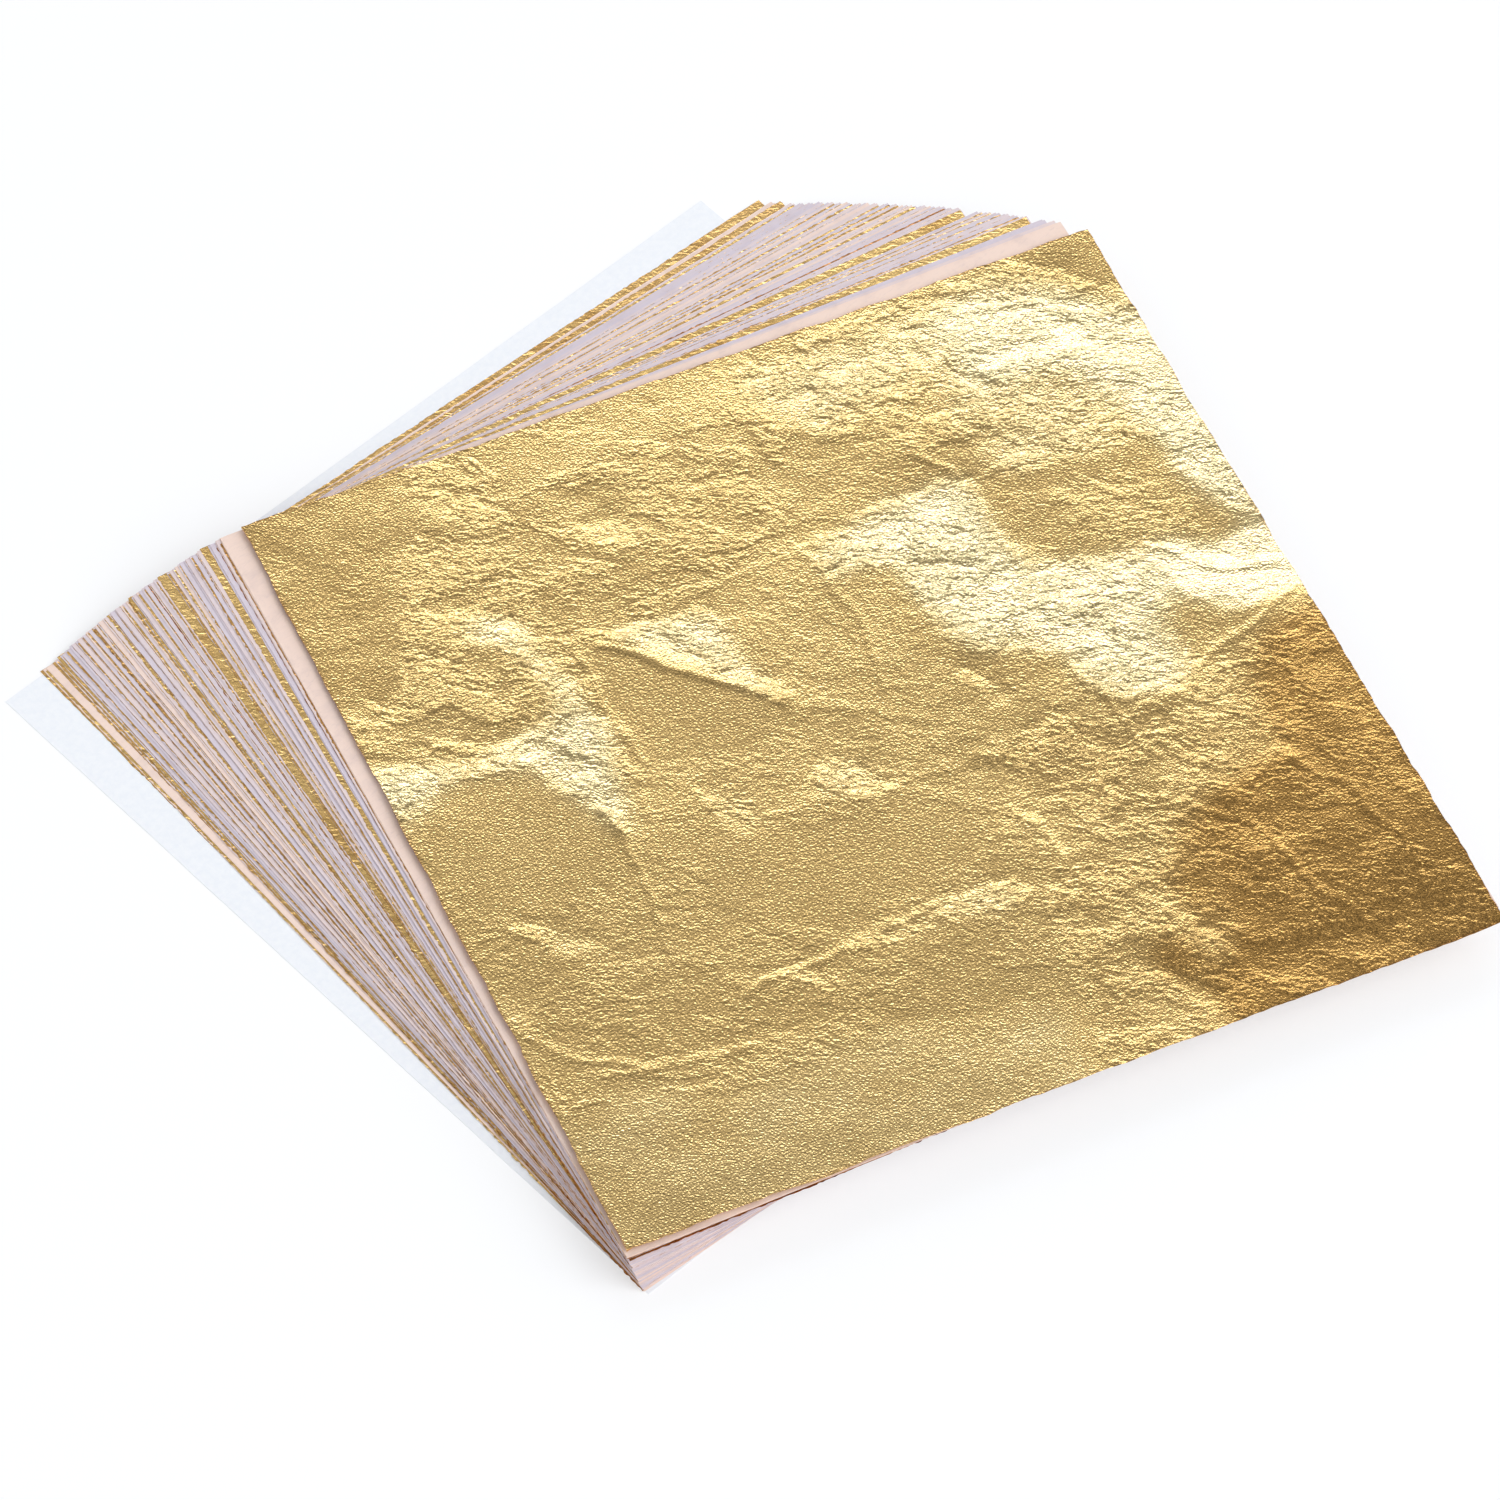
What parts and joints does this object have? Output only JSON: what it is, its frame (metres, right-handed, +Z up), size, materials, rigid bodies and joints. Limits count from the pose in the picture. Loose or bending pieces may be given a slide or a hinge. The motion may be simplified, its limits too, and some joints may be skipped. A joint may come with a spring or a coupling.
{
  "type": "pack of imitation gold leaf",
  "caption": "Loose pack of square imitation gold leaves with tissues between them, fanned out round one corner on a translucent backing sheet, for gilding.",
  "frame": {"origin": "the point near one corner that the sheets fan round, on the underside of the backing sheet", "axes": "+Z up, away from the table; +X and +Y along the backing sheet's two edges from its near corner; the sheets above it are turned clockwise, seen from above"},
  "size_m": [0.1774, 0.1811, 0.0062],
  "materials": {
    "gold_leaf": "crinkled beaten metal leaf, satin to bright",
    "tissue": "matt lilac-grey to salmon-pink interleaf tissue",
    "backing": "translucent bluish-white glazed paper"
  },
  "bodies": {
    "backing_sheet": {"backing_sheet": "backing"},
    "leaf_01": {"leaf_01": "gold_leaf"},
    "tissue_01": {"tissue_01": "tissue"},
    "leaf_02": {"leaf_02": "gold_leaf"},
    "tissue_02": {"tissue_02": "tissue"},
    "leaf_03": {"leaf_03": "gold_leaf"},
    "tissue_03": {"tissue_03": "tissue"},
    "leaf_04": {"leaf_04": "gold_leaf"},
    "tissue_04": {"tissue_04": "tissue"},
    "leaf_05": {"leaf_05": "gold_leaf"},
    "tissue_05": {"tissue_05": "tissue"},
    "leaf_06": {"leaf_06": "gold_leaf"},
    "tissue_06": {"tissue_06": "tissue"},
    "leaf_07": {"leaf_07": "gold_leaf"},
    "tissue_07": {"tissue_07": "tissue"},
    "leaf_08": {"leaf_08": "gold_leaf"},
    "tissue_08": {"tissue_08": "tissue"},
    "leaf_09": {"leaf_09": "gold_leaf"},
    "tissue_09": {"tissue_09": "tissue"},
    "leaf_10": {"leaf_10": "gold_leaf"},
    "tissue_10": {"tissue_10": "tissue"},
    "leaf_11": {"leaf_11": "gold_leaf"},
    "tissue_11": {"tissue_11": "tissue"},
    "leaf_12": {"leaf_12": "gold_leaf"},
    "tissue_12": {"tissue_12": "tissue"},
    "leaf_13": {"leaf_13": "gold_leaf"},
    "tissue_13": {"tissue_13": "tissue"},
    "leaf_14": {"leaf_14": "gold_leaf"},
    "tissue_14": {"tissue_14": "tissue"},
    "leaf_15": {"leaf_15": "gold_leaf"},
    "tissue_15": {"tissue_15": "tissue"},
    "leaf_16": {"leaf_16": "gold_leaf"},
    "tissue_16": {"tissue_16": "tissue"},
    "leaf_17": {"leaf_17": "gold_leaf"},
    "tissue_17": {"tissue_17": "tissue"},
    "leaf_18": {"leaf_18": "gold_leaf"},
    "tissue_18": {"tissue_18": "tissue"},
    "leaf_19": {"leaf_19": "gold_leaf"},
    "tissue_19": {"tissue_19": "tissue"},
    "leaf_20": {"leaf_20": "gold_leaf"},
    "tissue_20": {"tissue_20": "tissue"},
    "leaf_21": {"leaf_21": "gold_leaf"},
    "tissue_21": {"tissue_21": "tissue"},
    "leaf_22": {"leaf_22": "gold_leaf"},
    "tissue_22": {"tissue_22": "tissue"},
    "leaf_23": {"leaf_23": "gold_leaf"},
    "tissue_23": {"tissue_23": "tissue"},
    "leaf_24": {"leaf_24": "gold_leaf"},
    "tissue_24": {"tissue_24": "tissue"},
    "leaf_25": {"leaf_25": "gold_leaf"},
    "tissue_25": {"tissue_25": "tissue"},
    "leaf_26": {"leaf_26": "gold_leaf"},
    "tissue_26": {"tissue_26": "tissue"},
    "leaf_27": {"leaf_27": "gold_leaf"},
    "tissue_27": {"tissue_27": "tissue"},
    "leaf_28": {"leaf_28": "gold_leaf"},
    "tissue_28": {"tissue_28": "tissue"},
    "leaf_29": {"leaf_29": "gold_leaf"},
    "tissue_29": {"tissue_29": "tissue"},
    "top_leaf": {"top_leaf": "gold_leaf"}
  },
  "joints": [
    {"name": "fan_open", "type": "hinge", "parent": "backing_sheet", "child": "tissue_29", "pos_m": [0, 0, 0], "axis": [0, 0, -1], "range_deg": [-17.05, 27.95]},
    {"name": "fan_leaf_01", "type": "hinge", "parent": "backing_sheet", "child": "leaf_01", "pos_m": [0, 0, 0], "axis": [0, 0, -1], "range_deg": [-2.7, 4.43]},
    {"name": "fan_tissue_01", "type": "hinge", "parent": "backing_sheet", "child": "tissue_01", "pos_m": [0, 0, 0], "axis": [0, 0, -1], "range_deg": [-3.3, 5.41]},
    {"name": "fan_leaf_02", "type": "hinge", "parent": "backing_sheet", "child": "leaf_02", "pos_m": [0, 0, 0], "axis": [0, 0, -1], "range_deg": [-3.62, 5.93]},
    {"name": "fan_tissue_02", "type": "hinge", "parent": "backing_sheet", "child": "tissue_02", "pos_m": [0, 0, 0], "axis": [0, 0, -1], "range_deg": [-4.22, 6.92]},
    {"name": "fan_leaf_03", "type": "hinge", "parent": "backing_sheet", "child": "leaf_03", "pos_m": [0, 0, 0], "axis": [0, 0, -1], "range_deg": [-4.54, 7.44]},
    {"name": "fan_tissue_03", "type": "hinge", "parent": "backing_sheet", "child": "tissue_03", "pos_m": [0, 0, 0], "axis": [0, 0, -1], "range_deg": [-4.66, 7.64]},
    {"name": "fan_leaf_04", "type": "hinge", "parent": "backing_sheet", "child": "leaf_04", "pos_m": [0, 0, 0], "axis": [0, 0, -1], "range_deg": [-4.98, 8.16]},
    {"name": "fan_tissue_04", "type": "hinge", "parent": "backing_sheet", "child": "tissue_04", "pos_m": [0, 0, 0], "axis": [0, 0, -1], "range_deg": [-5.1, 8.36]},
    {"name": "fan_leaf_05", "type": "hinge", "parent": "backing_sheet", "child": "leaf_05", "pos_m": [0, 0, 0], "axis": [0, 0, -1], "range_deg": [-5.42, 8.88]},
    {"name": "fan_tissue_05", "type": "hinge", "parent": "backing_sheet", "child": "tissue_05", "pos_m": [0, 0, 0], "axis": [0, 0, -1], "range_deg": [-5.54, 9.08]},
    {"name": "fan_leaf_06", "type": "hinge", "parent": "backing_sheet", "child": "leaf_06", "pos_m": [0, 0, 0], "axis": [0, 0, -1], "range_deg": [-5.86, 9.6]},
    {"name": "fan_tissue_06", "type": "hinge", "parent": "backing_sheet", "child": "tissue_06", "pos_m": [0, 0, 0], "axis": [0, 0, -1], "range_deg": [-5.98, 9.8]},
    {"name": "fan_leaf_07", "type": "hinge", "parent": "backing_sheet", "child": "leaf_07", "pos_m": [0, 0, 0], "axis": [0, 0, -1], "range_deg": [-6.3, 10.33]},
    {"name": "fan_tissue_07", "type": "hinge", "parent": "backing_sheet", "child": "tissue_07", "pos_m": [0, 0, 0], "axis": [0, 0, -1], "range_deg": [-6.42, 10.52]},
    {"name": "fan_leaf_08", "type": "hinge", "parent": "backing_sheet", "child": "leaf_08", "pos_m": [0, 0, 0], "axis": [0, 0, -1], "range_deg": [-6.74, 11.05]},
    {"name": "fan_tissue_08", "type": "hinge", "parent": "backing_sheet", "child": "tissue_08", "pos_m": [0, 0, 0], "axis": [0, 0, -1], "range_deg": [-6.86, 11.24]},
    {"name": "fan_leaf_09", "type": "hinge", "parent": "backing_sheet", "child": "leaf_09", "pos_m": [0, 0, 0], "axis": [0, 0, -1], "range_deg": [-7.18, 11.77]},
    {"name": "fan_tissue_09", "type": "hinge", "parent": "backing_sheet", "child": "tissue_09", "pos_m": [0, 0, 0], "axis": [0, 0, -1], "range_deg": [-7.3, 11.96]},
    {"name": "fan_leaf_10", "type": "hinge", "parent": "backing_sheet", "child": "leaf_10", "pos_m": [0, 0, 0], "axis": [0, 0, -1], "range_deg": [-7.62, 12.49]},
    {"name": "fan_tissue_10", "type": "hinge", "parent": "backing_sheet", "child": "tissue_10", "pos_m": [0, 0, 0], "axis": [0, 0, -1], "range_deg": [-7.74, 12.68]},
    {"name": "fan_leaf_11", "type": "hinge", "parent": "backing_sheet", "child": "leaf_11", "pos_m": [0, 0, 0], "axis": [0, 0, -1], "range_deg": [-8.06, 13.21]},
    {"name": "fan_tissue_11", "type": "hinge", "parent": "backing_sheet", "child": "tissue_11", "pos_m": [0, 0, 0], "axis": [0, 0, -1], "range_deg": [-8.18, 13.4]},
    {"name": "fan_leaf_12", "type": "hinge", "parent": "backing_sheet", "child": "leaf_12", "pos_m": [0, 0, 0], "axis": [0, 0, -1], "range_deg": [-8.5, 13.93]},
    {"name": "fan_tissue_12", "type": "hinge", "parent": "backing_sheet", "child": "tissue_12", "pos_m": [0, 0, 0], "axis": [0, 0, -1], "range_deg": [-8.62, 14.13]},
    {"name": "fan_leaf_13", "type": "hinge", "parent": "backing_sheet", "child": "leaf_13", "pos_m": [0, 0, 0], "axis": [0, 0, -1], "range_deg": [-8.94, 14.65]},
    {"name": "fan_tissue_13", "type": "hinge", "parent": "backing_sheet", "child": "tissue_13", "pos_m": [0, 0, 0], "axis": [0, 0, -1], "range_deg": [-9.06, 14.85]},
    {"name": "fan_leaf_14", "type": "hinge", "parent": "backing_sheet", "child": "leaf_14", "pos_m": [0, 0, 0], "axis": [0, 0, -1], "range_deg": [-9.38, 15.37]},
    {"name": "fan_tissue_14", "type": "hinge", "parent": "backing_sheet", "child": "tissue_14", "pos_m": [0, 0, 0], "axis": [0, 0, -1], "range_deg": [-9.5, 15.57]},
    {"name": "fan_leaf_15", "type": "hinge", "parent": "backing_sheet", "child": "leaf_15", "pos_m": [0, 0, 0], "axis": [0, 0, -1], "range_deg": [-9.82, 16.09]},
    {"name": "fan_tissue_15", "type": "hinge", "parent": "backing_sheet", "child": "tissue_15", "pos_m": [0, 0, 0], "axis": [0, 0, -1], "range_deg": [-9.94, 16.29]},
    {"name": "fan_leaf_16", "type": "hinge", "parent": "backing_sheet", "child": "leaf_16", "pos_m": [0, 0, 0], "axis": [0, 0, -1], "range_deg": [-10.26, 16.81]},
    {"name": "fan_tissue_16", "type": "hinge", "parent": "backing_sheet", "child": "tissue_16", "pos_m": [0, 0, 0], "axis": [0, 0, -1], "range_deg": [-10.38, 17.01]},
    {"name": "fan_leaf_17", "type": "hinge", "parent": "backing_sheet", "child": "leaf_17", "pos_m": [0, 0, 0], "axis": [0, 0, -1], "range_deg": [-10.7, 17.53]},
    {"name": "fan_tissue_17", "type": "hinge", "parent": "backing_sheet", "child": "tissue_17", "pos_m": [0, 0, 0], "axis": [0, 0, -1], "range_deg": [-10.82, 17.73]},
    {"name": "fan_leaf_18", "type": "hinge", "parent": "backing_sheet", "child": "leaf_18", "pos_m": [0, 0, 0], "axis": [0, 0, -1], "range_deg": [-11.13, 18.25]},
    {"name": "fan_tissue_18", "type": "hinge", "parent": "backing_sheet", "child": "tissue_18", "pos_m": [0, 0, 0], "axis": [0, 0, -1], "range_deg": [-11.25, 18.45]},
    {"name": "fan_leaf_19", "type": "hinge", "parent": "backing_sheet", "child": "leaf_19", "pos_m": [0, 0, 0], "axis": [0, 0, -1], "range_deg": [-11.57, 18.97]},
    {"name": "fan_tissue_19", "type": "hinge", "parent": "backing_sheet", "child": "tissue_19", "pos_m": [0, 0, 0], "axis": [0, 0, -1], "range_deg": [-11.69, 19.17]},
    {"name": "fan_leaf_20", "type": "hinge", "parent": "backing_sheet", "child": "leaf_20", "pos_m": [0, 0, 0], "axis": [0, 0, -1], "range_deg": [-12.01, 19.69]},
    {"name": "fan_tissue_20", "type": "hinge", "parent": "backing_sheet", "child": "tissue_20", "pos_m": [0, 0, 0], "axis": [0, 0, -1], "range_deg": [-12.13, 19.89]},
    {"name": "fan_leaf_21", "type": "hinge", "parent": "backing_sheet", "child": "leaf_21", "pos_m": [0, 0, 0], "axis": [0, 0, -1], "range_deg": [-12.45, 20.41]},
    {"name": "fan_tissue_21", "type": "hinge", "parent": "backing_sheet", "child": "tissue_21", "pos_m": [0, 0, 0], "axis": [0, 0, -1], "range_deg": [-13.05, 21.4]},
    {"name": "fan_leaf_22", "type": "hinge", "parent": "backing_sheet", "child": "leaf_22", "pos_m": [0, 0, 0], "axis": [0, 0, -1], "range_deg": [-13.37, 21.92]},
    {"name": "fan_tissue_22", "type": "hinge", "parent": "backing_sheet", "child": "tissue_22", "pos_m": [0, 0, 0], "axis": [0, 0, -1], "range_deg": [-13.49, 22.12]},
    {"name": "fan_leaf_23", "type": "hinge", "parent": "backing_sheet", "child": "leaf_23", "pos_m": [0, 0, 0], "axis": [0, 0, -1], "range_deg": [-13.81, 22.64]},
    {"name": "fan_tissue_23", "type": "hinge", "parent": "backing_sheet", "child": "tissue_23", "pos_m": [0, 0, 0], "axis": [0, 0, -1], "range_deg": [-13.93, 22.84]},
    {"name": "fan_leaf_24", "type": "hinge", "parent": "backing_sheet", "child": "leaf_24", "pos_m": [0, 0, 0], "axis": [0, 0, -1], "range_deg": [-14.25, 23.36]},
    {"name": "fan_tissue_24", "type": "hinge", "parent": "backing_sheet", "child": "tissue_24", "pos_m": [0, 0, 0], "axis": [0, 0, -1], "range_deg": [-14.37, 23.56]},
    {"name": "fan_leaf_25", "type": "hinge", "parent": "backing_sheet", "child": "leaf_25", "pos_m": [0, 0, 0], "axis": [0, 0, -1], "range_deg": [-14.69, 24.08]},
    {"name": "fan_tissue_25", "type": "hinge", "parent": "backing_sheet", "child": "tissue_25", "pos_m": [0, 0, 0], "axis": [0, 0, -1], "range_deg": [-14.81, 24.28]},
    {"name": "fan_leaf_26", "type": "hinge", "parent": "backing_sheet", "child": "leaf_26", "pos_m": [0, 0, 0], "axis": [0, 0, -1], "range_deg": [-15.13, 24.81]},
    {"name": "fan_tissue_26", "type": "hinge", "parent": "backing_sheet", "child": "tissue_26", "pos_m": [0, 0, 0], "axis": [0, 0, -1], "range_deg": [-15.25, 25]},
    {"name": "fan_leaf_27", "type": "hinge", "parent": "backing_sheet", "child": "leaf_27", "pos_m": [0, 0, 0], "axis": [0, 0, -1], "range_deg": [-15.57, 25.53]},
    {"name": "fan_tissue_27", "type": "hinge", "parent": "backing_sheet", "child": "tissue_27", "pos_m": [0, 0, 0], "axis": [0, 0, -1], "range_deg": [-16.17, 26.51]},
    {"name": "fan_leaf_28", "type": "hinge", "parent": "backing_sheet", "child": "leaf_28", "pos_m": [0, 0, 0], "axis": [0, 0, -1], "range_deg": [-16.49, 27.03]},
    {"name": "fan_tissue_28", "type": "hinge", "parent": "backing_sheet", "child": "tissue_28", "pos_m": [0, 0, 0], "axis": [0, 0, -1], "range_deg": [-16.61, 27.23]},
    {"name": "fan_leaf_29", "type": "hinge", "parent": "backing_sheet", "child": "leaf_29", "pos_m": [0, 0, 0], "axis": [0, 0, -1], "range_deg": [-16.93, 27.75]},
    {"name": "top_leaf_lift", "type": "slide", "parent": "tissue_29", "child": "top_leaf", "axis": [0, 0, 1], "range_m": [0, 0.08]}
  ],
  "couplings": [
    {"joint": "fan_leaf_01", "follows": "fan_open", "ratio": 0.15836},
    {"joint": "fan_tissue_01", "follows": "fan_open", "ratio": 0.19355},
    {"joint": "fan_leaf_02", "follows": "fan_open", "ratio": 0.2123},
    {"joint": "fan_tissue_02", "follows": "fan_open", "ratio": 0.24749},
    {"joint": "fan_leaf_03", "follows": "fan_open", "ratio": 0.26623},
    {"joint": "fan_tissue_03", "follows": "fan_open", "ratio": 0.27327},
    {"joint": "fan_leaf_04", "follows": "fan_open", "ratio": 0.29202},
    {"joint": "fan_tissue_04", "follows": "fan_open", "ratio": 0.29906},
    {"joint": "fan_leaf_05", "follows": "fan_open", "ratio": 0.31781},
    {"joint": "fan_tissue_05", "follows": "fan_open", "ratio": 0.32484},
    {"joint": "fan_leaf_06", "follows": "fan_open", "ratio": 0.34359},
    {"joint": "fan_tissue_06", "follows": "fan_open", "ratio": 0.35063},
    {"joint": "fan_leaf_07", "follows": "fan_open", "ratio": 0.36938},
    {"joint": "fan_tissue_07", "follows": "fan_open", "ratio": 0.37641},
    {"joint": "fan_leaf_08", "follows": "fan_open", "ratio": 0.39516},
    {"joint": "fan_tissue_08", "follows": "fan_open", "ratio": 0.4022},
    {"joint": "fan_leaf_09", "follows": "fan_open", "ratio": 0.42095},
    {"joint": "fan_tissue_09", "follows": "fan_open", "ratio": 0.42799},
    {"joint": "fan_leaf_10", "follows": "fan_open", "ratio": 0.44673},
    {"joint": "fan_tissue_10", "follows": "fan_open", "ratio": 0.45377},
    {"joint": "fan_leaf_11", "follows": "fan_open", "ratio": 0.47252},
    {"joint": "fan_tissue_11", "follows": "fan_open", "ratio": 0.47956},
    {"joint": "fan_leaf_12", "follows": "fan_open", "ratio": 0.4983},
    {"joint": "fan_tissue_12", "follows": "fan_open", "ratio": 0.50534},
    {"joint": "fan_leaf_13", "follows": "fan_open", "ratio": 0.52409},
    {"joint": "fan_tissue_13", "follows": "fan_open", "ratio": 0.53113},
    {"joint": "fan_leaf_14", "follows": "fan_open", "ratio": 0.54987},
    {"joint": "fan_tissue_14", "follows": "fan_open", "ratio": 0.55691},
    {"joint": "fan_leaf_15", "follows": "fan_open", "ratio": 0.57566},
    {"joint": "fan_tissue_15", "follows": "fan_open", "ratio": 0.5827},
    {"joint": "fan_leaf_16", "follows": "fan_open", "ratio": 0.60145},
    {"joint": "fan_tissue_16", "follows": "fan_open", "ratio": 0.60848},
    {"joint": "fan_leaf_17", "follows": "fan_open", "ratio": 0.62723},
    {"joint": "fan_tissue_17", "follows": "fan_open", "ratio": 0.63427},
    {"joint": "fan_leaf_18", "follows": "fan_open", "ratio": 0.65302},
    {"joint": "fan_tissue_18", "follows": "fan_open", "ratio": 0.66005},
    {"joint": "fan_leaf_19", "follows": "fan_open", "ratio": 0.6788},
    {"joint": "fan_tissue_19", "follows": "fan_open", "ratio": 0.68584},
    {"joint": "fan_leaf_20", "follows": "fan_open", "ratio": 0.70459},
    {"joint": "fan_tissue_20", "follows": "fan_open", "ratio": 0.71162},
    {"joint": "fan_leaf_21", "follows": "fan_open", "ratio": 0.73037},
    {"joint": "fan_tissue_21", "follows": "fan_open", "ratio": 0.76556},
    {"joint": "fan_leaf_22", "follows": "fan_open", "ratio": 0.78431},
    {"joint": "fan_tissue_22", "follows": "fan_open", "ratio": 0.79135},
    {"joint": "fan_leaf_23", "follows": "fan_open", "ratio": 0.8101},
    {"joint": "fan_tissue_23", "follows": "fan_open", "ratio": 0.81713},
    {"joint": "fan_leaf_24", "follows": "fan_open", "ratio": 0.83588},
    {"joint": "fan_tissue_24", "follows": "fan_open", "ratio": 0.84292},
    {"joint": "fan_leaf_25", "follows": "fan_open", "ratio": 0.86167},
    {"joint": "fan_tissue_25", "follows": "fan_open", "ratio": 0.8687},
    {"joint": "fan_leaf_26", "follows": "fan_open", "ratio": 0.88745},
    {"joint": "fan_tissue_26", "follows": "fan_open", "ratio": 0.89449},
    {"joint": "fan_leaf_27", "follows": "fan_open", "ratio": 0.91324},
    {"joint": "fan_tissue_27", "follows": "fan_open", "ratio": 0.94843},
    {"joint": "fan_leaf_28", "follows": "fan_open", "ratio": 0.96718},
    {"joint": "fan_tissue_28", "follows": "fan_open", "ratio": 0.97421},
    {"joint": "fan_leaf_29", "follows": "fan_open", "ratio": 0.99296}
  ]
}
